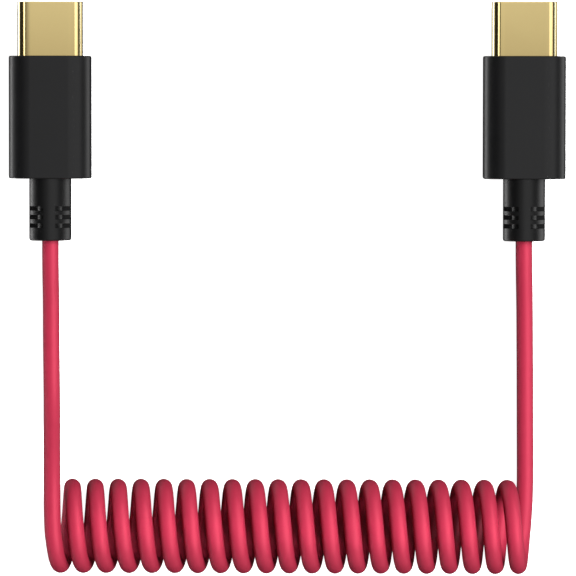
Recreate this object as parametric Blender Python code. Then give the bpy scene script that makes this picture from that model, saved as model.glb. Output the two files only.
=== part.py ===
"""Coiled USB-C cable: a plug on each end of one thin cord that is wound into a long open coil.

Frame: +X along the coil from the left plug to the right one, +Y the way the plug mouths face,
+Z up. The origin is on the floor, midway between the two plugs and at the middle of their length.
Everything is in metres, and the cable lies on the floor at z = 0.
"""

import math

import bmesh
import bpy
from mathutils import Vector

# Plug spacing and the clearances between pieces
PLUG_SPACING = 0.05956
FIT_CLEARANCE = 0.00005
CORD_GAP = 0.0003

# Overmoulded housing
HOUSING_WIDTH = 0.01042
HOUSING_LENGTH = 0.01540
HOUSING_THICKNESS = 0.00600
HOUSING_SIDE_RADIUS = 0.00290
HOUSING_RIM_RADIUS = 0.00030

# Drawn metal shell, the standard plug's outer size
SHELL_WIDTH = 0.00825
SHELL_HEIGHT = 0.00240
SHELL_WALL = 0.00020
SHELL_LENGTH = 0.00680
SHELL_SEAT = 0.00200
SHELL_LIP = 0.00006

# Insulator inside the shell, with the slot that takes the socket's tongue
INSULATOR_RECESS = 0.00040
SLOT_WIDTH = 0.00690
SLOT_HEIGHT = 0.00110
SLOT_DEPTH = 0.00560
SLOT_CORNER = 0.00020

# Spring contacts, on the standard 0.5 mm pitch
CONTACT_PITCH = 0.00050
CONTACT_WIDTH = 0.00026
CONTACT_THICKNESS = 0.00014
CONTACT_LENGTH = 0.00420
UPPER_CONTACTS = (1, 4, 5, 6, 7, 9, 12)
LOWER_CONTACTS = (1, 4, 5, 9, 12)
CONTACT_PLACES = 12

# Latch spring, a flat U lying in the slot's mid plane
LATCH_THICKNESS = 0.00020
LATCH_ARM_WIDTH = 0.00022
LATCH_LENGTH = 0.00500
LATCH_HOOK = 0.00018
LATCH_HOOK_LENGTH = 0.00070

# Strain relief, a flexible sleeve with three pairs of slots above and three below
RELIEF_DIAMETER = 0.00529
RELIEF_LENGTH = 0.00780
RELIEF_SEAT = 0.00150
RELIEF_RIM_RADIUS = 0.00025
RELIEF_CORE_DIAMETER = 0.00340
RELIEF_SPINE_WIDTH = 0.00170
RELIEF_BRIDGE_ROOT_HEIGHT = 0.00160
RELIEF_BRIDGE_EDGE_HEIGHT = 0.00030
RELIEF_SLOT_COUNT = 3
RELIEF_SLOT_PITCH = 0.00108
RELIEF_SLOT_WIDTH = 0.00056
RELIEF_FIRST_SLOT = 0.00375

# Cord, and the coil that it is wound into
CORD_DIAMETER = 0.00210
COIL_DIAMETER = 0.01185
COIL_PITCH = 0.00287
COIL_TURNS = 20.5
COIL_CENTRE_X = 0.00044
COIL_AXIS_Y = -0.05075

# Facets round a full circle
ROUND_SEGMENTS = 32
COIL_SEGMENTS = 48
CORNER_SEGMENTS = 8
RIM_SEGMENTS = 2
CORD_BEVEL_RESOLUTION = 2
CORD_POINT_SPACING = 2 * CORD_DIAMETER

# Route of each lead from its strain relief to the coil. The left lead dips to the floor and
# climbs to the top of the coil; the right one runs along the floor to the coil's underside.
LEFT_ROUTE = [
    (-0.02978, -0.01530, 0.00300),
    (-0.02978, -0.01715, 0.00296),
    (-0.02979, -0.01950, 0.00252),
    (-0.02980, -0.02200, 0.00180),
    (-0.02982, -0.02450, 0.00128),
    (-0.02983, -0.02700, 0.00110),
    (-0.02981, -0.02980, 0.00110),
    (-0.02976, -0.03240, 0.00142),
    (-0.02967, -0.03500, 0.00232),
    (-0.02955, -0.03750, 0.00390),
    (-0.02941, -0.04000, 0.00594),
    (-0.02927, -0.04250, 0.00793),
    (-0.02915, -0.04500, 0.00949),
    (-0.02907, -0.04780, 0.01051),
    (-0.02898, -0.05075, 0.01080),
]
RIGHT_ROUTE = [
    (0.02978, -0.01530, 0.00300),
    (0.02979, -0.01715, 0.00296),
    (0.02984, -0.01950, 0.00252),
    (0.02991, -0.02200, 0.00180),
    (0.02996, -0.02450, 0.00128),
    (0.02999, -0.02750, 0.00108),
    (0.03002, -0.03100, 0.00106),
    (0.03004, -0.03500, 0.00106),
    (0.03006, -0.03900, 0.00106),
    (0.03008, -0.04250, 0.00106),
    (0.03008, -0.04550, 0.00106),
    (0.03001, -0.04820, 0.00106),
    (0.02986, -0.05075, 0.00105),
]

# Places along the plug that follow from the sizes above
PLUG_LENGTH = SHELL_LENGTH + HOUSING_LENGTH + RELIEF_LENGTH
PLUG_AXIS_Z = HOUSING_THICKNESS / 2
MOUTH_Y = PLUG_LENGTH / 2
HOUSING_FRONT_Y = MOUTH_Y - SHELL_LENGTH
HOUSING_REAR_Y = HOUSING_FRONT_Y - HOUSING_LENGTH
RELIEF_END_Y = HOUSING_REAR_Y - RELIEF_LENGTH
SHELL_BACK_Y = HOUSING_FRONT_Y - SHELL_SEAT
INSULATOR_FRONT_Y = MOUTH_Y - INSULATOR_RECESS
SLOT_BACK_Y = INSULATOR_FRONT_Y - SLOT_DEPTH
COIL_AXIS_Z = COIL_DIAMETER / 2


def clear_scene():
    """Remove whatever the file opened with."""
    for obj in list(bpy.data.objects):
        bpy.data.objects.remove(obj, do_unlink=True)


def make_material(name, colour, roughness, metallic=0.0):
    """A Principled material with the part's plain colour."""
    material = bpy.data.materials.new(name)
    material.use_nodes = True
    shader = material.node_tree.nodes["Principled BSDF"]
    shader.inputs["Base Color"].default_value = (*colour, 1.0)
    shader.inputs["Roughness"].default_value = roughness
    shader.inputs["Metallic"].default_value = metallic
    return material


def rounded_outline(width, height, radius):
    """Points (x, z) of a rounded rectangle about its centre, counter-clockwise."""
    points = []
    centres = (
        (width / 2 - radius, height / 2 - radius, 0),
        (-width / 2 + radius, height / 2 - radius, 90),
        (-width / 2 + radius, -height / 2 + radius, 180),
        (width / 2 - radius, -height / 2 + radius, 270),
    )
    for cx, cz, start in centres:
        for step in range(CORNER_SEGMENTS + 1):
            angle = math.radians(start + 90 * step / CORNER_SEGMENTS)
            point = (cx + radius * math.cos(angle), cz + radius * math.sin(angle))
            if not points or math.dist(point, points[-1]) > 1e-7:
                points.append(point)
    if math.dist(points[0], points[-1]) < 1e-7:
        points.pop()
    return points


def circle_outline(radius, segments=ROUND_SEGMENTS):
    """Points (x, z) of a circle about its centre, the first one straight below it."""
    turns = [2 * math.pi * step / segments - math.pi / 2 for step in range(segments)]
    return [(radius * math.cos(angle), radius * math.sin(angle)) for angle in turns]


def slot_outline(side, level):
    """Quarter-ring round the strain relief's core, between its side bridge and its spine. The
    bridge is high at the core and slopes down to a low edge at the sleeve's surface."""
    core = RELIEF_CORE_DIAMETER / 2
    surface = RELIEF_DIAMETER / 2
    outer = surface + RELIEF_SLOT_WIDTH
    root = RELIEF_BRIDGE_ROOT_HEIGHT / 2
    root_x = math.sqrt(core**2 - root**2)
    slope = (root - RELIEF_BRIDGE_EDGE_HEIGHT / 2) / (surface - root_x)
    tip = root - slope * (outer - root_x)
    steps = ROUND_SEGMENTS // 4
    points = []
    for radius, foot, way in ((outer, tip, 1), (core, root, -1)):
        low = math.asin(foot / radius)
        high = math.acos(RELIEF_SPINE_WIDTH / 2 / radius)
        for step in range(steps + 1)[::way]:
            angle = low + (high - low) * step / steps
            points.append((side * radius * math.cos(angle), level * radius * math.sin(angle)))
    return points


def prism(name, outline, back_y, front_y, rim_radius=0.0, rims=("back", "front")):
    """Extrude an (x, z) outline along +Y and round the edges of the named ends."""
    mesh = bpy.data.meshes.new(name)
    bm = bmesh.new()
    ring = [bm.verts.new((x, back_y, z)) for x, z in outline]
    face = bm.faces.new(ring)
    made = bmesh.ops.extrude_face_region(bm, geom=[face])
    moved = [item for item in made["geom"] if isinstance(item, bmesh.types.BMVert)]
    bmesh.ops.translate(bm, verts=moved, vec=Vector((0, front_y - back_y, 0)))
    bmesh.ops.recalc_face_normals(bm, faces=bm.faces)
    if rim_radius > 0:
        ends = {"back": back_y, "front": front_y}
        rounded = [
            edge
            for edge in bm.edges
            for rim in rims
            if all(abs(vert.co.y - ends[rim]) < 1e-7 for vert in edge.verts)
        ]
        bmesh.ops.bevel(
            bm, geom=rounded, offset=rim_radius, segments=RIM_SEGMENTS, profile=0.5, affect="EDGES"
        )
    bm.to_mesh(mesh)
    bm.free()
    obj = bpy.data.objects.new(name, mesh)
    bpy.context.scene.collection.objects.link(obj)
    return obj


def finished_mesh(obj, cutters=()):
    """Cut the cutters out of the object and return the finished mesh, with smooth round sides."""
    for cutter in cutters:
        cutter.hide_render = True
        cutter.display_type = "WIRE"
        cut = obj.modifiers.new("cut_" + cutter.name, "BOOLEAN")
        cut.operation = "DIFFERENCE"
        cut.object = cutter
    depsgraph = bpy.context.evaluated_depsgraph_get()
    mesh = bpy.data.meshes.new_from_object(obj.evaluated_get(depsgraph))
    mesh.name = obj.name
    mesh.shade_smooth()
    mesh.set_sharp_from_angle(angle=math.radians(35))
    for spent in (obj, *cutters):
        bpy.data.objects.remove(spent, do_unlink=True)
    return mesh


def housing_mesh():
    """The hard sleeve, with a pocket for the shell in front and a socket for the relief behind."""
    outline = rounded_outline(HOUSING_WIDTH, HOUSING_THICKNESS, HOUSING_SIDE_RADIUS)
    body = prism("housing", outline, HOUSING_REAR_Y, HOUSING_FRONT_Y, HOUSING_RIM_RADIUS)
    pocket_height = SHELL_HEIGHT + 2 * FIT_CLEARANCE
    pocket_outline = rounded_outline(
        SHELL_WIDTH + 2 * FIT_CLEARANCE, pocket_height, pocket_height / 2
    )
    pocket = prism(
        "pocket",
        pocket_outline,
        SHELL_BACK_Y - FIT_CLEARANCE,
        HOUSING_FRONT_Y + HOUSING_RIM_RADIUS,
    )
    socket = prism(
        "socket",
        circle_outline(RELIEF_DIAMETER / 2 + FIT_CLEARANCE),
        HOUSING_REAR_Y - HOUSING_RIM_RADIUS,
        HOUSING_REAR_Y + RELIEF_SEAT + FIT_CLEARANCE,
    )
    return finished_mesh(body, (pocket, socket))


def shell_mesh():
    """The drawn tube of the plug, open at its mouth and at its back."""
    outline = rounded_outline(SHELL_WIDTH, SHELL_HEIGHT, SHELL_HEIGHT / 2)
    tube = prism("shell", outline, SHELL_BACK_Y, MOUTH_Y, SHELL_LIP, ("front",))
    bore_height = SHELL_HEIGHT - 2 * SHELL_WALL
    bore = prism(
        "bore",
        rounded_outline(SHELL_WIDTH - 2 * SHELL_WALL, bore_height, bore_height / 2),
        SHELL_BACK_Y - SHELL_WALL,
        MOUTH_Y + SHELL_WALL,
    )
    return finished_mesh(tube, (bore,))


def insulator_mesh():
    """The black core of the plug, filling the shell behind and round the tongue slot."""
    inset = 2 * (SHELL_WALL + FIT_CLEARANCE)
    height = SHELL_HEIGHT - inset
    outline = rounded_outline(SHELL_WIDTH - inset, height, height / 2)
    core = prism("insulator", outline, SHELL_BACK_Y, INSULATOR_FRONT_Y)
    slot = prism(
        "slot",
        rounded_outline(SLOT_WIDTH, SLOT_HEIGHT, SLOT_CORNER),
        SLOT_BACK_Y,
        INSULATOR_FRONT_Y + INSULATOR_RECESS,
    )
    return finished_mesh(core, (slot,))


def contact_mesh():
    """One spring contact, a flat gold bar about its own centre line."""
    outline = rounded_outline(CONTACT_WIDTH, CONTACT_THICKNESS, CONTACT_THICKNESS / 4)
    back = SLOT_BACK_Y + FIT_CLEARANCE
    return finished_mesh(prism("contact", outline, back, back + CONTACT_LENGTH))


def latch_mesh():
    """The latch spring: a flat U whose two arms end in hooks that face each other."""
    half = SLOT_WIDTH / 2 - FIT_CLEARANCE
    back = SLOT_BACK_Y + FIT_CLEARANCE
    inner = half - LATCH_ARM_WIDTH
    front = back + LATCH_LENGTH
    hook_back = front - LATCH_HOOK_LENGTH
    right_side = [
        (half, back),
        (half, front),
        (inner, front),
        (inner - LATCH_HOOK, (front + hook_back) / 2),
        (inner, hook_back),
        (inner, back + LATCH_ARM_WIDTH),
    ]
    left_side = [(-x, y) for x, y in reversed(right_side)]
    mesh = bpy.data.meshes.new("latch")
    bm = bmesh.new()
    low = -LATCH_THICKNESS / 2
    ring = [bm.verts.new((x, y, low)) for x, y in right_side + left_side]
    face = bm.faces.new(ring)
    made = bmesh.ops.extrude_face_region(bm, geom=[face])
    moved = [item for item in made["geom"] if isinstance(item, bmesh.types.BMVert)]
    bmesh.ops.translate(bm, verts=moved, vec=Vector((0, 0, LATCH_THICKNESS)))
    bmesh.ops.recalc_face_normals(bm, faces=bm.faces)
    bm.to_mesh(mesh)
    bm.free()
    return mesh


def strain_relief_mesh():
    """The slotted sleeve: rings on a round core, joined by a spine above and below and a
    sloping bridge on each side."""
    sleeve = prism(
        "strain_relief",
        circle_outline(RELIEF_DIAMETER / 2),
        RELIEF_END_Y,
        HOUSING_REAR_Y + RELIEF_SEAT,
        RELIEF_RIM_RADIUS,
        ("back",),
    )
    cutters = []
    for number in range(RELIEF_SLOT_COUNT):
        middle = HOUSING_REAR_Y - RELIEF_FIRST_SLOT - number * RELIEF_SLOT_PITCH
        back = middle - RELIEF_SLOT_WIDTH / 2
        for side, level in ((-1, -1), (-1, 1), (1, -1), (1, 1)):
            name = f"slot_{number}_{side}_{level}"
            outline = slot_outline(side, level)
            cutters.append(prism(name, outline, back, back + RELIEF_SLOT_WIDTH))
    return finished_mesh(sleeve, cutters)


def place(name, mesh, material, parent, offset=(0.0, 0.0, 0.0)):
    """One named object with the given mesh, held by its plug's empty."""
    obj = bpy.data.objects.new(name, mesh)
    if not mesh.materials:
        mesh.materials.append(material)
    obj.parent = parent
    obj.location = offset
    bpy.context.scene.collection.objects.link(obj)
    return obj


def place_contacts(side, mesh, material, parent):
    """The contacts of one plug, over and under the slot, on the places that are wired."""
    seat = SLOT_HEIGHT / 2 - FIT_CLEARANCE - CONTACT_THICKNESS / 2
    rows = (("upper", UPPER_CONTACTS, 1), ("lower", LOWER_CONTACTS, -1))
    for row, places, way in rows:
        for number in places:
            across = way * (number - (CONTACT_PLACES + 1) / 2) * CONTACT_PITCH
            name = f"{side}_{row}_contact_{number}"
            place(name, mesh, material, parent, (across, 0.0, way * seat))


def smooth_curve(route, steps=24):
    """Fine points on a Catmull-Rom curve through the route's own points."""
    points = [Vector(point) for point in route]
    ends = [2 * points[0] - points[1]] + points + [2 * points[-1] - points[-2]]
    curve = []
    for before, start, end, after in zip(ends, ends[1:], ends[2:], ends[3:]):
        for step in range(steps):
            t = step / steps
            along = (end - before) * t + (2 * before - 5 * start + 4 * end - after) * t**2
            along += (3 * start - before - 3 * end + after) * t**3
            curve.append(start + along / 2)
    curve.append(points[-1])
    return curve


def evenly_spaced(curve, spacing):
    """Points on the curve a whole number of near-equal steps apart."""
    lengths = [0.0]
    for start, end in zip(curve, curve[1:]):
        lengths.append(lengths[-1] + (end - start).length)
    count = max(2, round(lengths[-1] / spacing))
    picked = []
    index = 0
    for step in range(count + 1):
        wanted = lengths[-1] * step / count
        while index < len(curve) - 2 and lengths[index + 1] < wanted:
            index += 1
        share = (wanted - lengths[index]) / (lengths[index + 1] - lengths[index])
        picked.append(curve[index].lerp(curve[index + 1], min(1.0, share)))
    return picked


def make_lead(name, route, material):
    """The tube of one lead, from its strain relief to where it joins the coil."""
    clear = COIL_DIAMETER / 2 + CORD_DIAMETER / 2 + CORD_GAP
    kept = [
        point
        for point in smooth_curve(route)
        if math.hypot(point.y - COIL_AXIS_Y, point.z - COIL_AXIS_Z) >= clear
    ]
    points = evenly_spaced(kept, CORD_POINT_SPACING)
    data = bpy.data.curves.new(name, "CURVE")
    data.dimensions = "3D"
    data.bevel_depth = CORD_DIAMETER / 2
    data.bevel_resolution = CORD_BEVEL_RESOLUTION
    data.use_fill_caps = True
    spline = data.splines.new("POLY")
    spline.points.add(len(points) - 1)
    for slot, point in zip(spline.points, points):
        slot.co = (*point, 1.0)
    data.materials.append(material)
    obj = bpy.data.objects.new(name, data)
    bpy.context.scene.collection.objects.link(obj)
    return obj


def make_coil(material):
    """The coil as one tube of its outer diameter, with its bore and its rounded ends."""
    wall = CORD_DIAMETER
    middle = COIL_DIAMETER / 2 - wall / 2
    half = COIL_PITCH * COIL_TURNS / 2
    profile = []
    for end, start in ((half, -90), (-half, 90)):
        for step in range(CORNER_SEGMENTS + 1):
            angle = math.radians(start + 180 * step / CORNER_SEGMENTS)
            across = end + wall / 2 * math.cos(angle)
            profile.append((across, 0.0, -middle - wall / 2 * math.sin(angle)))
    mesh = bpy.data.meshes.new("coil")
    bm = bmesh.new()
    verts = [bm.verts.new(point) for point in profile]
    edges = [bm.edges.new(pair) for pair in zip(verts, verts[1:] + verts[:1])]
    bmesh.ops.spin(
        bm,
        geom=verts + edges,
        cent=(0, 0, 0),
        axis=(1, 0, 0),
        angle=2 * math.pi,
        steps=COIL_SEGMENTS,
        use_merge=True,
        use_duplicate=False,
    )
    bmesh.ops.remove_doubles(bm, verts=bm.verts, dist=1e-7)
    bmesh.ops.recalc_face_normals(bm, faces=bm.faces)
    bm.to_mesh(mesh)
    bm.free()
    mesh.shade_smooth()
    mesh.set_sharp_from_angle(angle=math.radians(35))
    mesh.materials.append(material)
    obj = bpy.data.objects.new("coil", mesh)
    obj.location = (COIL_CENTRE_X, COIL_AXIS_Y, COIL_AXIS_Z)
    bpy.context.scene.collection.objects.link(obj)
    return obj


def build():
    """Both plugs, their leads and the coil."""
    clear_scene()
    black_plastic = make_material("black_plastic", (0.028, 0.028, 0.029), 0.55)
    black_rubber = make_material("black_rubber", (0.018, 0.018, 0.019), 0.50)
    gold_plating = make_material("gold_plating", (0.560, 0.440, 0.200), 0.28, 1.0)
    core_plastic = make_material("core_plastic", (0.010, 0.010, 0.011), 0.60)
    spring_steel = make_material("spring_steel", (0.550, 0.540, 0.520), 0.30, 1.0)
    crimson_jacket = make_material("crimson_jacket", (0.600, 0.035, 0.085), 0.42)

    housing = housing_mesh()
    shell = shell_mesh()
    insulator = insulator_mesh()
    latch = latch_mesh()
    contact = contact_mesh()
    relief = strain_relief_mesh()
    for side, way in (("left", -1), ("right", 1)):
        plug = bpy.data.objects.new(side + "_plug", None)
        plug.location = (way * PLUG_SPACING / 2, 0.0, PLUG_AXIS_Z)
        bpy.context.scene.collection.objects.link(plug)
        place(side + "_housing", housing, black_plastic, plug)
        place(side + "_shell", shell, gold_plating, plug)
        place(side + "_insulator", insulator, core_plastic, plug)
        place(side + "_latch", latch, spring_steel, plug)
        place(side + "_strain_relief", relief, black_rubber, plug)
        place_contacts(side, contact, gold_plating, plug)

    make_lead("left_lead", LEFT_ROUTE, crimson_jacket)
    make_lead("right_lead", RIGHT_ROUTE, crimson_jacket)
    make_coil(crimson_jacket)


build()
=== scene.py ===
"""Coiled USB-C cable with two black plugs and a crimson cord, seen from straight above."""

import math

import bmesh
import bpy
from mathutils import Matrix, Vector


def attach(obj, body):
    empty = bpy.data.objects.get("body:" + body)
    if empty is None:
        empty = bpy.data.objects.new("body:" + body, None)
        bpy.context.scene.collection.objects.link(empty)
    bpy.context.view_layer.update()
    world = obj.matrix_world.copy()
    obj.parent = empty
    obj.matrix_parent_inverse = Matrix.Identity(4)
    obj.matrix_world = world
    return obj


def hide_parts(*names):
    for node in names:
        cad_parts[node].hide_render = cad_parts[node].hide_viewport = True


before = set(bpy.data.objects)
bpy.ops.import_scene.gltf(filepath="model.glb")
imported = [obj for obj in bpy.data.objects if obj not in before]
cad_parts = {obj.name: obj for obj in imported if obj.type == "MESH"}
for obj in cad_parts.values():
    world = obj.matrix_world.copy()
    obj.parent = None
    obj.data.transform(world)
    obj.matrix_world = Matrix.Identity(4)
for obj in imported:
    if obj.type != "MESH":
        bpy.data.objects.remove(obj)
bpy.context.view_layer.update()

# The camera looks straight down from 56 cm above the floor, a little to the right of the cable's
# middle, through a long lens, so that both plugs and the coil show almost no perspective.
camera_place = Vector((0.01033, 0.00220, 0.56150))
camera_target = Vector((0.000083, -0.02108, 0.0))
camera_roll = 0.001
sensor_width = 36.0
focal_pixels = 4443.35
photo_pixels = 576

ahead = (camera_target - camera_place).normalized()
across = ahead.cross(Vector((0, 1, 0))).normalized()
upward = across.cross(ahead)
turned = Matrix((across, upward, -ahead)).transposed() @ Matrix.Rotation(camera_roll, 3, "Z")
bpy.ops.object.camera_add()
camera = bpy.context.object
camera.matrix_world = Matrix.Translation(camera_place) @ turned.to_4x4()
camera.data.sensor_width = sensor_width
camera.data.lens = focal_pixels / photo_pixels * sensor_width
bpy.context.scene.camera = camera
bpy.context.scene.view_settings.view_transform = "Standard"


# The floor is a plain white sheet that glows a little, as a product photographer's light table
# does, so the shadows on it stay faint. It lights nothing and shows in no reflection.
class Socket:
    """One socket of a node tree; an expression on it adds the nodes that work it out."""

    def __init__(self, tree, socket=None):
        self.tree = tree
        self.socket = socket

    def node(self, kind, settings=None, inputs=None, out=0):
        """Add a node, with its settings first and then its sockets' values and links."""
        node = self.tree.nodes.new("ShaderNode" + kind)
        for name, value in (settings or {}).items():
            if name == "stops":
                elements = node.color_ramp.elements
                elements.remove(elements[1])
                elements[0].position, elements[0].color = value[0]
                for place, colour in value[1:]:
                    elements.new(place).color = colour
            else:
                setattr(node, name, value)
        for name, value in (inputs or {}).items():
            if isinstance(value, Socket):
                self.tree.links.new(value.socket, node.inputs[name])
            else:
                node.inputs[name].default_value = value
        return Socket(self.tree, node.outputs[out])

    def beside(self, out):
        """Another output of the node that this socket belongs to."""
        return Socket(self.tree, self.socket.node.outputs[out])

    def maths(self, operation, *values):
        return self.node("Math", {"operation": operation}, dict(enumerate(values)))

    def __add__(self, other):
        return self.maths("ADD", self, other)

    def __radd__(self, other):
        return self.maths("ADD", other, self)

    def __mul__(self, other):
        return self.maths("MULTIPLY", self, other)

    def __rmul__(self, other):
        return self.maths("MULTIPLY", other, self)

    def mixed(self, low, high):
        """The colour that lies between two others, at this socket's share."""
        settings = {"data_type": "RGBA"}
        return self.node("Mix", settings, {0: self, 6: low, 7: high}, out=2)

    def feed(self, name):
        """Link this socket to the material's shader."""
        shader = self.tree.nodes["Principled BSDF"]
        self.tree.links.new(self.socket, shader.inputs[name])


def new_material(name, values=None):
    """A material with plain values on its shader, and the socket class on its node tree."""
    material = bpy.data.materials.new(name)
    material.use_nodes = True
    shader = material.node_tree.nodes["Principled BSDF"]
    for socket, value in (values or {}).items():
        shader.inputs[socket].default_value = value
    return material, Socket(material.node_tree)


floor_width = 3.0
floor_glow = 0.98
bpy.ops.mesh.primitive_plane_add(size=floor_width)
floor = bpy.context.object
floor.name = "floor"
floor_white, nodes = new_material(
    "floor_white",
    {"Roughness": 0.9, "Emission Color": (1, 1, 1, 1), "Emission Strength": floor_glow},
)
point = nodes.node("TexCoord", out=3)
grain = nodes.node("TexNoise", inputs={"Vector": point, "Scale": 900, "Detail": 3})
grain.mixed((0.86, 0.86, 0.86, 1), (0.9, 0.9, 0.9, 1)).feed("Base Color")
floor.data.materials.append(floor_white)
floor.visible_diffuse = False
floor.visible_glossy = False
floor.visible_shadow = False

# The light is a photographer's tent: a ring of white and dark bands that runs round the Y axis, by
# angle from straight up, and grey walls at both ends. It shows in reflections. A key light, low
# cards round the cable and a narrow strip over the coil do the lighting, and show in none.
tent_stops = (
    (-138, 0.02),
    (-131, 0.50),
    (-127, 1.10),
    (-116, 1.10),
    (-110, 0.80),
    (-97, 0.50),
    (-87, 0.04),
    (-60, 0.02),
    (-40, 0.04),
    (-30, 0.20),
    (-19, 0.30),
    (-14, 0.08),
    (-10, 0.10),
    (-7, 0.60),
    (-4, 0.71),
    (0, 0.68),
    (3, 0.63),
    (8, 0.68),
    (22, 0.64),
    (38, 0.66),
    (46, 0.50),
    (52, 0.06),
    (62, 0.06),
    (68, 0.10),
    (88, 0.10),
    (97, 0.42),
    (105, 0.90),
    (112, 1.10),
    (121, 0.75),
    (131, 0.35),
    (137, 0.02),
)
end_starts = 0.80
end_full = 0.97
end_grey = 0.2
behind_table = 0.9
low_card_width = 0.24
low_card_length = 1.6
low_card_height = 0.21
low_card_reach = 1.2
strip_spread = 3
strip_shift = 0.0033

tent = bpy.data.worlds.new("light_tent")
tent.use_nodes = True
bpy.context.scene.world = tent
tent.cycles_visibility.diffuse = False
nodes = Socket(tent.node_tree)
direction = nodes.node("TexCoord")
x_part = nodes.node("SeparateXYZ", inputs={0: direction})
around = nodes.maths("ARCTAN2", x_part, x_part.beside(2)) * (0.5 / math.pi) + 0.5
brightest = max(level for angle, level in tent_stops)
stops = [
    (angle / 360 + 0.5, (level / brightest, level / brightest, level / brightest, 1))
    for angle, level in tent_stops
]
ring = nodes.node("ValToRGB", {"stops": stops}, {0: around})
sideways = nodes.maths("ABSOLUTE", x_part.beside(1))
closeness = nodes.node("MapRange", inputs={"Value": sideways, 1: end_starts, 2: end_full})
walls = closeness.mixed(ring, (end_grey, end_grey, end_grey, 1))
white = behind_table / brightest
shown = nodes.node("LightPath").mixed(walls, (white, white, white, 1))
background = tent.node_tree.nodes["Background"]
tent.node_tree.links.new(shown.socket, background.inputs["Color"])
background.inputs["Strength"].default_value = brightest


def add_card(name, place, across_size, along_size, power):
    """A soft light that faces the Y axis and shows in no reflection."""
    bpy.ops.object.light_add(type="AREA", location=place)
    card = bpy.context.object
    card.name = name
    card.data.shape = "RECTANGLE"
    card.data.size = across_size
    card.data.size_y = along_size
    card.data.energy = power
    facing = Vector((place[0], 0, place[2])).normalized()
    side = Vector((0, 1, 0)).cross(facing)
    card.rotation_euler = Matrix((side, (0, 1, 0), facing)).transposed().to_euler()
    card.visible_camera = False
    card.visible_glossy = False
    return card


def face_middle(card):
    """Turn a card that stands before or behind the cable, so that it faces the middle."""
    card.rotation_euler = card.location.to_track_quat("Z", "Y").to_euler()


add_card("key_light", place=(0.97, 0.28, 1.90), across_size=0.2, along_size=1.4, power=94.5)
add_card("left_card", (-1.20, 0.0, 0.08), low_card_width, low_card_length, power=10.8)
coil_strip = add_card(
    "coil_strip",
    place=(0.0508, -0.05075, 0.1208),
    across_size=0.0516,
    along_size=0.002,
    power=0.00023,
)
coil_strip.data.spread = math.radians(strip_spread)
coil_strip.location.x -= strip_shift
for name, way, power in (("front_card", -1, 3.9), ("back_card", 1, 2.6)):
    place = (0, way * low_card_reach, low_card_height)
    face_middle(add_card(name, place, low_card_length, low_card_width, power))

# The cord is four thin wires in one extruded crimson elastomer jacket. It runs from inside the
# left strain relief down to the floor, up to the top of the coil, through twenty turns and a
# half that were wound on a rod and heat set, and along the floor to the right strain relief.
cord_diameter = 0.0021
cord_sides = 24
cord_step = 0.0006
cord_start = -0.0132
plug_offset = 0.02978
plug_axis_z = 0.0030
left_route = [
    (-0.02978, cord_start, 0.00300),
    (-0.02978, -0.01430, 0.00300),
    (-0.02978, -0.01530, 0.00300),
    (-0.02978, -0.01715, 0.00296),
    (-0.02979, -0.01950, 0.00252),
    (-0.02980, -0.02200, 0.00180),
    (-0.02982, -0.02450, 0.00128),
    (-0.02983, -0.02700, 0.00110),
    (-0.02981, -0.02980, 0.00110),
    (-0.02976, -0.03240, 0.00142),
    (-0.02967, -0.03500, 0.00232),
    (-0.02955, -0.03750, 0.00390),
    (-0.02941, -0.04000, 0.00594),
    (-0.02927, -0.04250, 0.00793),
    (-0.02915, -0.04500, 0.00949),
    (-0.02907, -0.04780, 0.01051),
]
right_route = [
    (0.02978, cord_start, 0.00300),
    (0.02978, -0.01430, 0.00300),
    (0.02978, -0.01530, 0.00300),
    (0.02979, -0.01715, 0.00296),
    (0.02984, -0.01950, 0.00252),
    (0.02991, -0.02200, 0.00180),
    (0.02996, -0.02450, 0.00128),
    (0.02999, -0.02750, 0.00108),
    (0.03002, -0.03100, 0.00106),
    (0.03004, -0.03500, 0.00106),
    (0.03006, -0.03900, 0.00106),
    (0.03008, -0.04250, 0.00106),
    (0.03008, -0.04550, 0.00106),
    (0.03001, -0.04820, 0.00106),
]
coil_diameter = 0.01185
coil_pitch = 0.00287
coil_turns = 20.5
coil_centre_x = 0.00044
coil_axis_y = -0.05075
coil_axis_z = coil_diameter / 2
coil_radius = (coil_diameter - cord_diameter) / 2
points_per_turn = 24

coil_start_x = coil_centre_x - coil_pitch * coil_turns / 2
coil_route = []
for number in range(round(coil_turns * points_per_turn) + 1):
    share = number / points_per_turn
    angle = math.pi / 2 + 2 * math.pi * share
    coil_route.append(
        (
            coil_start_x + coil_pitch * share,
            coil_axis_y + coil_radius * math.cos(angle),
            coil_axis_z + coil_radius * math.sin(angle),
        )
    )
knots = [Vector(place) for place in left_route + coil_route + right_route[::-1]]
knots = [2 * knots[0] - knots[1]] + knots + [2 * knots[-1] - knots[-2]]
cord_path = []
for before, start, finish, after in zip(knots, knots[1:], knots[2:], knots[3:]):
    steps = max(2, round((finish - start).length / cord_step))
    for step in range(steps):
        t = step / steps
        bend = (finish - before) * t + (2 * before - 5 * start + 4 * finish - after) * t**2
        bend += (3 * start - before - 3 * finish + after) * t**3
        cord_path.append(start + bend / 2)
cord_path.append(knots[-2])

bpy.ops.object.select_all(action="DESELECT")
line = bpy.data.curves.new("cord", "CURVE")
line.dimensions = "3D"
line.twist_mode = "MINIMUM"
line.bevel_depth = cord_diameter / 2
line.bevel_resolution = cord_sides // 2 - 2
line.use_fill_caps = True
spline = line.splines.new("POLY")
spline.points.add(len(cord_path) - 1)
for knot, place in zip(spline.points, cord_path):
    knot.co = (*place, 1.0)
cord = bpy.data.objects.new("cord", line)
bpy.context.scene.collection.objects.link(cord)
bpy.context.view_layer.objects.active = cord
cord.select_set(True)
bpy.ops.object.convert(target="MESH")
cord = bpy.context.object

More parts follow.
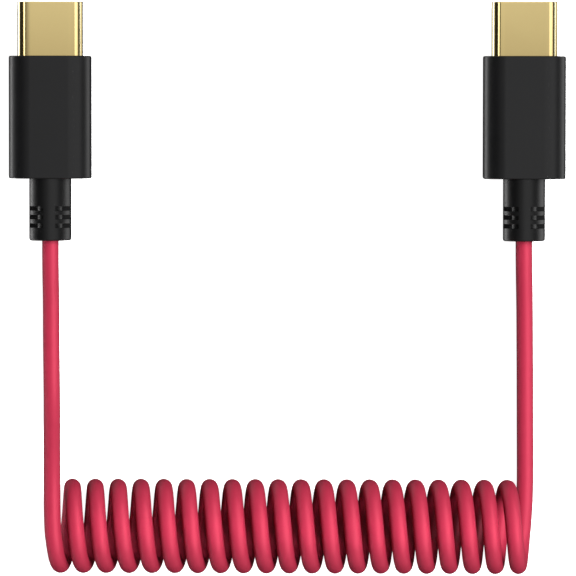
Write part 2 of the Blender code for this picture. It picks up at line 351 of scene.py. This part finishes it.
distances = [0.0]
for start, finish in zip(cord_path, cord_path[1:]):
    distances.append(distances[-1] + (finish - start).length)
jacket_map = cord.data.uv_layers.active or cord.data.uv_layers.new(name="jacket")
jacket_map.name = "jacket"
for face in cord.data.polygons:
    ring_places = [vertex % cord_sides for vertex in face.vertices]
    wraps = max(ring_places) - min(ring_places) > cord_sides / 2
    for loop, vertex, place in zip(face.loop_indices, face.vertices, ring_places):
        if wraps and place < cord_sides / 2:
            place += cord_sides
        along = distances[min(vertex // cord_sides, len(distances) - 1)]
        jacket_map.data[loop].uv = (along, place / cord_sides * math.pi * cord_diameter)

jacket, nodes = new_material(
    "crimson_jacket", {"IOR": 1.52, "Specular Tint": (1.0, 0.28, 0.36, 1)}
)
place = nodes.node("UVMap", {"uv_map": "jacket"})
stretched = nodes.node("Mapping", inputs={"Vector": place, "Scale": (0.12, 1.0, 1.0)})
mottle = nodes.node("TexNoise", inputs={"Vector": place, "Scale": 700, "Detail": 4})
lines = nodes.node("TexNoise", inputs={"Vector": stretched, "Scale": 6000, "Detail": 2})
fine = nodes.node("TexNoise", inputs={"Vector": place, "Scale": 9000, "Detail": 2})
mottle.mixed((0.30, 0.0175, 0.041, 1), (0.34, 0.0205, 0.049, 1)).feed("Base Color")
(0.42 + 0.10 * mottle + 0.06 * lines).feed("Roughness")
height = lines * 0.6 + fine * 0.4
nodes.node("Bump", inputs={"Strength": 0.35, "Distance": 0.00002, "Height": height}).feed("Normal")
cord.data.materials.clear()
cord.data.materials.append(jacket)
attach(cord, "root")
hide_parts("left_lead", "coil", "right_lead")


def mirror_only(card, receivers):
    """Let a card show as a reflection alone, and only on the pieces of one collection."""
    card.visible_diffuse = False
    card.visible_glossy = True
    card.light_linking.receiver_collection = receivers


def add_glint(name, receivers, angle, width, level, colour=(1, 1, 1), length=1.2):
    """A strip of light along Y that only some pieces mirror, at an angle from straight up."""
    toward = Vector((math.sin(math.radians(angle)), 0, math.cos(math.radians(angle))))
    breadth = 2 * math.tan(math.radians(width / 2))
    glint = add_card(name, toward, breadth, length, level * math.pi * breadth * length)
    glint.data.color = colour
    mirror_only(glint, receivers)


def collect(name, pieces):
    """A collection of the pieces that mirror the same strips."""
    collection = bpy.data.collections.new(name)
    for piece in pieces:
        collection.objects.link(piece)
    return collection


cord_pieces = collect("cord_pieces", [cord])
add_glint("cord_glint", cord_pieces, angle=43, width=44, level=5.6, length=2.6)
table_glint = add_card(
    "table_glint", place=(-0.57, 0.86, -0.61), across_size=0.9, along_size=0.9, power=1.3
)
face_middle(table_glint)
mirror_only(table_glint, cord_pieces)

# Each plug's housing is a hard black sleeve, injection moulded in one shot over the soldered
# wires, with fully round sides, a fine parting line round its middle, a spark-eroded grain, a
# pocket in front that grips the metal shell and a round socket behind for the strain relief.
housing_width = 0.01042
housing_thickness = 0.0060
housing_front = 0.0082
housing_rear = -0.0072
housing_side_radius = 0.0029
housing_rim = 0.0002
parting_depth = 0.00003
parting_half_width = 0.00004
shell_width = 0.00825
shell_height = 0.0024
shell_back = 0.0062
fit_gap = 0.00005
relief_diameter = 0.00529
relief_seat = 0.0015
hair = 1e-6  # places closer than this count as one


def pick(kind, test):
    """Select the vertices, edges or faces of the piece in edit mode that pass a test."""
    bpy.ops.mesh.select_mode(type=kind)
    bpy.ops.mesh.select_all(action="DESELECT")
    mesh = bpy.context.object.data
    shape = bmesh.from_edit_mesh(mesh)
    for item in {"VERT": shape.verts, "EDGE": shape.edges, "FACE": shape.faces}[kind]:
        if test(item):
            item.select_set(True)
    shape.select_flush_mode()
    bmesh.update_edit_mesh(mesh)


def slice_at(*levels, axis):
    """Cut the whole piece in edit mode along flat planes that stand square to one axis."""
    square = [float(number == axis) for number in range(3)]
    for level in levels:
        bpy.ops.mesh.select_all(action="SELECT")
        bpy.ops.mesh.bisect(plane_co=[level * part for part in square], plane_no=square)


def apply_modifier(piece, kind, **settings):
    """Add one modifier to a piece and apply it."""
    bpy.ops.object.select_all(action="DESELECT")
    piece.select_set(True)
    bpy.context.view_layer.objects.active = piece
    bpy.ops.object.modifier_add(type=kind)
    modifier = piece.modifiers[-1]
    for name, value in settings.items():
        setattr(modifier, name, value)
    bpy.ops.object.modifier_apply(modifier=modifier.name)


def cut_out(piece, *cutters):
    """Cut other solids out of a piece and throw them away."""
    for cutter in cutters:
        apply_modifier(piece, "BOOLEAN", operation="DIFFERENCE", solver="EXACT", object=cutter)
        bpy.data.objects.remove(cutter, do_unlink=True)


def add_block(name, size, centre):
    """A block at its size and place, ready to be shaped."""
    bpy.ops.object.select_all(action="DESELECT")
    bpy.ops.mesh.primitive_cube_add(size=1, location=centre, scale=size)
    bpy.ops.object.transform_apply(location=True, rotation=True, scale=True)
    bpy.context.object.name = name
    return bpy.context.object


def add_bar(name, radius, back, front, sides=64):
    """A round bar along +Y whose flats lie on the radius above, below and on both sides."""
    bpy.ops.object.select_all(action="DESELECT")
    bpy.ops.mesh.primitive_cylinder_add(
        vertices=sides,
        radius=radius / math.cos(math.pi / sides),
        depth=front - back,
        location=(0, (front + back) / 2, 0),
        rotation=(math.pi / 2, math.pi / sides, 0),
    )
    bpy.ops.object.transform_apply(location=True, rotation=True, scale=True)
    bpy.context.object.name = name
    return bpy.context.object


def add_obround(name, width, height, back, front):
    """A bar along +Y with fully round sides, made by pulling a round bar's halves apart."""
    piece = add_bar(name, height / 2, back, front)
    bpy.ops.object.mode_set(mode="EDIT")
    for way in (-1, 1):
        pick("VERT", lambda vert: vert.co.x * way > 0)
        bpy.ops.transform.translate(value=(way * (width - height) / 2, 0, 0))
    bpy.ops.object.mode_set(mode="OBJECT")
    return piece


def finish_surface(piece, sharp_angle=35):
    """Smooth the round faces of a piece and keep its flat ones flat."""
    bpy.ops.object.select_all(action="DESELECT")
    piece.select_set(True)
    bpy.context.view_layer.objects.active = piece
    bpy.ops.object.shade_smooth_by_angle(angle=math.radians(sharp_angle))
    apply_modifier(piece, "WEIGHTED_NORMAL", weight=90, keep_sharp=True)


def fit_to_plugs(piece, name, material, cad_node):
    """Put a copy of a piece on each plug, in place of that plug's own CAD node."""
    fitted_pieces = []
    piece.data.materials.clear()
    piece.data.materials.append(material)
    for side, way in (("left", -1), ("right", 1)):
        fitted = piece.copy()
        fitted.data = piece.data.copy()
        fitted.name = f"{side}_{name}"
        bpy.context.scene.collection.objects.link(fitted)
        fitted.data.transform(Matrix.Translation((way * plug_offset, 0, plug_axis_z)))
        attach(fitted, "root")
        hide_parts(f"{side}_{cad_node}")
        fitted_pieces.append(fitted)
    bpy.data.objects.remove(piece, do_unlink=True)
    return fitted_pieces


housing_middle = (housing_front + housing_rear) / 2
housing_length = housing_front - housing_rear
housing = add_block(
    "housing", (housing_width, housing_length, housing_thickness), (0, housing_middle, 0)
)
bpy.ops.object.mode_set(mode="EDIT")
pick("EDGE", lambda edge: abs(edge.verts[0].co.y - edge.verts[1].co.y) > housing_side_radius)
bpy.ops.mesh.bevel(offset=housing_side_radius, segments=16, affect="EDGES")
for end in (housing_front, housing_rear):
    pick("EDGE", lambda edge: all(abs(vert.co.y - end) < hair for vert in edge.verts))
    bpy.ops.mesh.bevel(offset=housing_rim, segments=4, affect="EDGES")
slice_at(-parting_half_width, 0, parting_half_width, axis=2)
pick("VERT", lambda vert: abs(vert.co.z) < hair)
bpy.ops.transform.resize(
    value=(1 - 2 * parting_depth / housing_width, 1 - 2 * parting_depth / housing_length, 1),
    center_override=(0, housing_middle, 0),
)
bpy.ops.object.mode_set(mode="OBJECT")
pocket = add_obround(
    "pocket",
    shell_width + 2 * fit_gap,
    shell_height + 2 * fit_gap,
    shell_back - fit_gap,
    housing_front + housing_rim,
)
relief_socket = add_bar(
    "relief_socket",
    relief_diameter / 2 + fit_gap,
    housing_rear - housing_rim,
    housing_rear + relief_seat + fit_gap,
)
cut_out(housing, pocket, relief_socket)
finish_surface(housing)

black_plastic, nodes = new_material("black_plastic")
place = nodes.node("TexCoord", out=3)
grain = nodes.node("TexNoise", inputs={"Vector": place, "Scale": 7000, "Detail": 3})
cloud = nodes.node("TexNoise", inputs={"Vector": place, "Scale": 260, "Detail": 3})
cloud.mixed((0.0035, 0.0035, 0.0037, 1), (0.0050, 0.0050, 0.0054, 1)).feed("Base Color")
(0.28 + 0.06 * cloud + 0.04 * grain).feed("Roughness")
nodes.node("Bump", inputs={"Strength": 0.25, "Distance": 0.00001, "Height": grain}).feed("Normal")
housings = fit_to_plugs(housing, "plug_housing", black_plastic, "housing")
black_pieces = collect("black_pieces", housings)
housing_pieces = collect("housing_pieces", housings)
add_glint("housing_fill", housing_pieces, angle=57, width=24, level=0.60)
add_glint("black_left_glint", black_pieces, angle=-120, width=10, level=2.6)
add_glint("black_right_glint", black_pieces, angle=124, width=14, level=0.7)

# The shell is deep drawn from thin sheet metal and gold plated, with a rounded lip that leads it
# into the socket. It is pressed into the housing's pocket and stands 6.8 mm out of it. It mirrors
# four strips of its own, the lower two bluish, and a white wall at each end of the cable.
mouth = 0.0150
shell_wall = 0.0002
shell_lip = 0.00012
shell_crown = 0.0023
shell_sharp_angle = 50
edge_blue = (0.5, 0.64, 1.0)
wall_width = 2.4
wall_height = 1.1
wall_reach = 0.9
wall_rise = 0.7
wall_level = 0.5

shell = add_obround("shell", shell_width, shell_height, shell_back, mouth)
bpy.ops.object.mode_set(mode="EDIT")
pick("FACE", lambda face: abs(face.normal.y) > 0.9)
bpy.ops.mesh.delete(type="FACE")
slice_at(-shell_crown, shell_crown, axis=0)
slice_at(housing_front, mouth - 2 * shell_lip, axis=1)
bpy.ops.object.mode_set(mode="OBJECT")
apply_modifier(shell, "SOLIDIFY", thickness=shell_wall, offset=-1, use_even_offset=True)
middle_wall = (shell_height - shell_wall) / 2
half_flat = (shell_width - shell_height) / 2


def on_outer_lip(vert):
    """Whether a vertex lies on the outer edge of the shell's mouth."""
    outward = math.hypot(max(0.0, abs(vert.co.x) - half_flat), vert.co.z)
    return mouth - vert.co.y < hair and outward > middle_wall


bpy.ops.object.mode_set(mode="EDIT")
pick("EDGE", lambda edge: all(on_outer_lip(vert) for vert in edge.verts))
bpy.ops.mesh.bevel(offset=shell_lip, segments=5, affect="EDGES")
bpy.ops.object.mode_set(mode="OBJECT")
bpy.ops.object.shade_smooth_by_angle(angle=math.radians(shell_sharp_angle))

gold_plating, nodes = new_material("gold_plating", {"Metallic": 1.0})
place = nodes.node("TexCoord", out=3)
drawn = nodes.node("Mapping", inputs={"Vector": place, "Scale": (1.0, 0.06, 1.0)})
streaks = nodes.node("TexNoise", inputs={"Vector": drawn, "Scale": 9000, "Detail": 2})
cloud = nodes.node("TexNoise", inputs={"Vector": place, "Scale": 320, "Detail": 2})
# The gold is painted darker towards the housing and lighter towards the mouth. This is painted
# shade where the shell meets the housing, mixed with a little random cloud tone.
level = nodes.node("SeparateXYZ", inputs={0: place}, out=1)
painted_shade_toward_housing = nodes.node("MapRange", inputs={"Value": level, 1: housing_front, 2: mouth})
share = painted_shade_toward_housing * 0.8 + cloud * 0.2
share.mixed((0.77, 0.595, 0.262, 1), (1.0, 0.79, 0.36, 1)).feed("Base Color")
(0.10 + 0.03 * cloud + 0.03 * streaks).feed("Roughness")
nodes.node("Bump", inputs={"Strength": 0.1, "Distance": 0.000004, "Height": streaks}).feed("Normal")
shells = fit_to_plugs(shell, "plug_shell", gold_plating, "shell")
gold_pieces = collect("gold_pieces", shells)
add_glint("left_glint", gold_pieces, angle=-30, width=14, level=2.4)
add_glint("right_glint", gold_pieces, angle=38, width=41, level=0.95)
add_glint("left_edge_glint", gold_pieces, angle=-113, width=28, level=3.4, colour=edge_blue)
add_glint("right_edge_glint", gold_pieces, angle=93, width=9, level=3.6, colour=edge_blue)
for name, way in (("front_wall", -1), ("back_wall", 1)):
    power = wall_level * math.pi * wall_width * wall_height
    wall = add_card(name, (0, way * wall_reach, wall_rise), wall_width, wall_height, power)
    face_middle(wall)
    mirror_only(wall, gold_pieces)

# The insulator is the black moulded core that fills the shell. The socket's tongue goes into its
# slot, whose roof and floor carry twelve narrow grooves each for the spring contacts.
insulator_front = 0.0146
slot_width = 0.0069
slot_height = 0.0011
slot_back = 0.0090
slot_corner = 0.0002
contact_pitch = 0.0005
contact_places = 12
groove_width = 0.00032
groove_depth = 0.00014
groove_front = 0.0139
slot_lead_in = 0.00008

inset = 2 * (shell_wall + fit_gap)
insulator = add_obround(
    "insulator", shell_width - inset, shell_height - inset, shell_back, insulator_front
)
tongue_slot = add_block(
    "tongue_slot",
    (slot_width, insulator_front - slot_back + fit_gap, slot_height),
    (0, (insulator_front + slot_back + fit_gap) / 2, 0),
)
bpy.ops.object.mode_set(mode="EDIT")
pick("EDGE", lambda edge: abs(edge.verts[0].co.y - edge.verts[1].co.y) > slot_height)
bpy.ops.mesh.bevel(offset=slot_corner, segments=4, affect="EDGES")
bpy.ops.object.mode_set(mode="OBJECT")
grooves = add_block(
    "grooves",
    (groove_width, groove_front - slot_back, slot_height + 2 * groove_depth),
    (-(contact_places - 1) / 2 * contact_pitch, (groove_front + slot_back) / 2, 0),
)
apply_modifier(
    grooves,
    "ARRAY",
    count=contact_places,
    use_relative_offset=False,
    use_constant_offset=True,
    constant_offset_displace=(contact_pitch, 0, 0),
)
cut_out(insulator, tongue_slot, grooves)
bpy.ops.object.mode_set(mode="EDIT")
pick("EDGE", lambda edge: all(insulator_front - vert.co.y < hair for vert in edge.verts))
bpy.ops.mesh.bevel(offset=slot_lead_in, segments=2, affect="EDGES")
bpy.ops.object.mode_set(mode="OBJECT")
finish_surface(insulator)

core_black, nodes = new_material("core_black")
place = nodes.node("TexCoord", out=3)
flow = nodes.node("TexNoise", inputs={"Vector": place, "Scale": 1500, "Detail": 4})
flow.mixed((0.006, 0.006, 0.0065, 1), (0.012, 0.012, 0.0125, 1)).feed("Base Color")
(0.42 + 0.14 * flow).feed("Roughness")
nodes.node("Bump", inputs={"Strength": 0.2, "Distance": 0.00001, "Height": flow}).feed("Normal")
fit_to_plugs(insulator, "plug_insulator", core_black, "insulator")

# Each contact is a leaf stamped from copper alloy and gold plated, moulded into the insulator at
# its back, bowed towards the tongue near its front, with its tip turned back into the groove.
upper_contacts = (1, 4, 5, 6, 7, 9, 12)
lower_contacts = (1, 4, 5, 9, 12)
contact_width = 0.00026
contact_thickness = 0.00014
contact_length = 0.0042
contact_back = slot_back + fit_gap
contact_bow = 0.00012
contact_bow_lean = 2.2
contact_seat = slot_height / 2 - fit_gap - contact_thickness / 2
contact_steps = 14
spring_edge = 0.00003
spring_sharp_angle = 40

contact = add_block(
    "contact",
    (contact_width, contact_length, contact_thickness),
    (0, contact_back + contact_length / 2, 0),
)
shares = [number / contact_steps for number in range(contact_steps + 1)]
bpy.ops.object.mode_set(mode="EDIT")
slice_at(*(contact_back + contact_length * share for share in shares[1:-1]), axis=1)
for share in shares:
    bow_place = contact_back + contact_length * share
    bow = contact_bow * math.sin(math.pi * share**contact_bow_lean) if share < 1 else 0.0
    pick("VERT", lambda vert: abs(vert.co.y - bow_place) < hair)
    bpy.ops.transform.translate(value=(0, 0, -bow))
bpy.ops.object.mode_set(mode="OBJECT")
apply_modifier(contact, "BEVEL", width=spring_edge, segments=2, limit_method="ANGLE")
finish_surface(contact, spring_sharp_angle)

contact_gold, nodes = new_material("contact_gold", {"Metallic": 1.0})
place = nodes.node("TexCoord", out=3)
wear = nodes.node("TexNoise", inputs={"Vector": place, "Scale": 4000, "Detail": 3})
wear.mixed((0.95, 0.70, 0.30, 1), (1.0, 0.78, 0.36, 1)).feed("Base Color")
(0.18 + 0.14 * wear).feed("Roughness")
nodes.node("Bump", inputs={"Strength": 0.1, "Distance": 0.000004, "Height": wear}).feed("Normal")
for row, places, way in (("upper", upper_contacts, 1), ("lower", lower_contacts, -1)):
    for number in places:
        leaf = contact.copy()
        leaf.data = contact.data.copy()
        bpy.context.scene.collection.objects.link(leaf)
        across_slot = way * (number - (contact_places + 1) / 2) * contact_pitch
        half_turn = Matrix.Rotation(0 if way == 1 else math.pi, 4, "Y")
        placed = Matrix.Translation((across_slot, 0, way * contact_seat)) @ half_turn
        leaf.data.transform(placed)
        leaves = fit_to_plugs(
            leaf, f"{row}_leaf_{number}", contact_gold, f"{row}_contact_{number}"
        )
        for fitted in leaves:
            gold_pieces.objects.link(fitted)
bpy.data.objects.remove(contact, do_unlink=True)

# The latch is a flat U stamped from spring steel. It lies in the slot's mid plane, and the hooks
# at its two tips click into the notches on the sides of the socket's tongue.
latch_thickness = 0.0002
latch_arm = 0.00022
latch_length = 0.0050
latch_hook = 0.00018
latch_hook_length = 0.0007

latch_half = slot_width / 2 - fit_gap
latch_back = slot_back + fit_gap
hook_place = latch_back + latch_length - latch_hook_length / 2
latch = add_block(
    "latch",
    (2 * latch_half, latch_arm, latch_thickness),
    (0, latch_back + latch_arm / 2, 0),
)
bpy.ops.object.mode_set(mode="EDIT")
slice_at(latch_arm - latch_half, latch_half - latch_arm, axis=0)


def on_arm_front(face):
    """Whether a face looks forward from one of the latch's two arms."""
    return face.normal.y > 0.9 and abs(face.calc_center_median().x) > latch_half - latch_arm


hook_half = latch_hook_length / 2
for reach in (latch_length - latch_arm - latch_hook_length, hook_half, hook_half):
    pick("FACE", on_arm_front)
    bpy.ops.mesh.extrude_region_move(TRANSFORM_OT_translate={"value": (0, reach, 0)})
for way in (-1, 1):
    pick(
        "VERT",
        lambda vert: abs(vert.co.y - hook_place) < hair
        and vert.co.x * way > 0
        and abs(vert.co.x) < latch_half - latch_arm / 2,
    )
    bpy.ops.transform.translate(value=(-way * latch_hook, 0, 0))
bpy.ops.object.mode_set(mode="OBJECT")
apply_modifier(latch, "BEVEL", width=spring_edge, segments=2, limit_method="ANGLE")
finish_surface(latch, spring_sharp_angle)

spring_steel, nodes = new_material("spring_steel", {"Metallic": 1.0})
place = nodes.node("TexCoord", out=3)
rolled = nodes.node("Mapping", inputs={"Vector": place, "Scale": (1.0, 0.08, 1.0)})
rolling = nodes.node("TexNoise", inputs={"Vector": rolled, "Scale": 8000, "Detail": 3})
rolling.mixed((0.50, 0.49, 0.47, 1), (0.62, 0.61, 0.59, 1)).feed("Base Color")
(0.24 + 0.14 * rolling).feed("Roughness")
nodes.node("Bump", inputs={"Strength": 0.1, "Distance": 0.000004, "Height": rolling}).feed("Normal")
fit_to_plugs(latch, "plug_latch", spring_steel, "latch")

# The strain relief is a soft black elastomer sleeve, moulded on the cord behind the housing. Slots
# down to its round core let it bend, three pairs above and three below. Spines above and below
# and sloping bridges at its sides join its rings, and the cord comes out of a hole in its end.
relief_rear = -0.0150
relief_rim = 0.00025
relief_core = 0.0034
spine_width = 0.0017
bridge_root_height = 0.0016
bridge_edge_height = 0.0003
relief_slots = 3
relief_slot_pitch = 0.00108
relief_slot_width = 0.00056
relief_first_slot = 0.00375
exit_gap = 0.00006
exit_depth = 0.0012
relief_edge = 0.00004
relief_edge_angle = 0.7

relief = add_bar(
    "relief", relief_diameter / 2, relief_rear, housing_rear + relief_seat, sides=96
)
slot_planes = []
for number in range(relief_slots):
    slot_middle = housing_rear - relief_first_slot - number * relief_slot_pitch
    slot_planes += [slot_middle - relief_slot_width / 2, slot_middle + relief_slot_width / 2]
bpy.ops.object.mode_set(mode="EDIT")
slice_at(*slot_planes, axis=1)
for way in (-1, 1):
    slice_at(way * spine_width / 2, axis=0)
    slice_at(way * bridge_edge_height / 2, axis=2)


def in_slot(face):
    """Whether a face lies on the sleeve's round side where a slot is to be."""
    centre = face.calc_center_median()
    if abs(face.normal.y) > 0.1 or abs(centre.x) < spine_width / 2:
        return False
    if abs(centre.z) < bridge_edge_height / 2:
        return False
    return any(low < centre.y < high for low, high in zip(slot_planes[::2], slot_planes[1::2]))


def on_rear_rim(vert):
    """Whether a vertex lies on the edge of the sleeve's rear end."""
    outward = math.hypot(vert.co.x, vert.co.z)
    return abs(vert.co.y - relief_rear) < hair and outward > relief_core / 2


pick("FACE", in_slot)
bpy.ops.mesh.extrude_region()
core_share = relief_core / relief_diameter
bpy.ops.transform.resize(value=(core_share, 1, core_share), center_override=(0, 0, 0))
pick(
    "EDGE",
    lambda edge: all(on_rear_rim(vert) for vert in edge.verts) and edge.calc_length() < relief_rim,
)
bpy.ops.mesh.bevel(offset=relief_rim, segments=5, affect="EDGES")
bpy.ops.object.mode_set(mode="OBJECT")
exit_radius = cord_diameter / 2 + exit_gap
exit_hole = add_bar("exit_hole", exit_radius, relief_rear - relief_rim, relief_rear + exit_depth)
cut_out(relief, exit_hole)
bridge_root = math.sqrt((relief_core / 2) ** 2 - (bridge_root_height / 2) ** 2)
bridge_length = slot_planes[1] - slot_planes[-2] + relief_slot_width
bridge = add_block(
    "bridge",
    (relief_diameter - 2 * relief_edge, bridge_length, bridge_root_height),
    (0, (slot_planes[1] + slot_planes[-2]) / 2, 0),
)
bpy.ops.object.mode_set(mode="EDIT")
slice_at(-bridge_root, bridge_root, axis=0)
pick("VERT", lambda vert: abs(vert.co.x) > bridge_root + hair)
bpy.ops.transform.resize(
    value=(1, 1, bridge_edge_height / bridge_root_height), center_override=(0, 0, 0)
)
bpy.ops.object.mode_set(mode="OBJECT")
apply_modifier(relief, "BOOLEAN", operation="UNION", solver="EXACT", object=bridge)
bpy.data.objects.remove(bridge, do_unlink=True)
apply_modifier(
    relief,
    "BEVEL",
    width=relief_edge,
    segments=2,
    limit_method="ANGLE",
    angle_limit=relief_edge_angle,
)
finish_surface(relief)

black_rubber, nodes = new_material("black_rubber", {"IOR": 1.56})
place = nodes.node("TexCoord", out=3)
skin = nodes.node("TexNoise", inputs={"Vector": place, "Scale": 5000, "Detail": 4})
cloud = nodes.node("TexNoise", inputs={"Vector": place, "Scale": 400, "Detail": 3})
cloud.mixed((0.0016, 0.0016, 0.0017, 1), (0.0024, 0.0024, 0.0026, 1)).feed("Base Color")
(0.32 + 0.08 * cloud + 0.05 * skin).feed("Roughness")
nodes.node("Bump", inputs={"Strength": 0.2, "Distance": 0.00001, "Height": skin}).feed("Normal")
reliefs = fit_to_plugs(
    relief, "plug_strain_relief", black_rubber, "strain_relief"
)
for fitted in reliefs:
    black_pieces.objects.link(fitted)
relief_pieces = collect("relief_pieces", reliefs)
add_glint("relief_left_glint", relief_pieces, angle=-126, width=14, level=0.9)
add_glint("relief_right_glint", relief_pieces, angle=98, width=28, level=0.8)
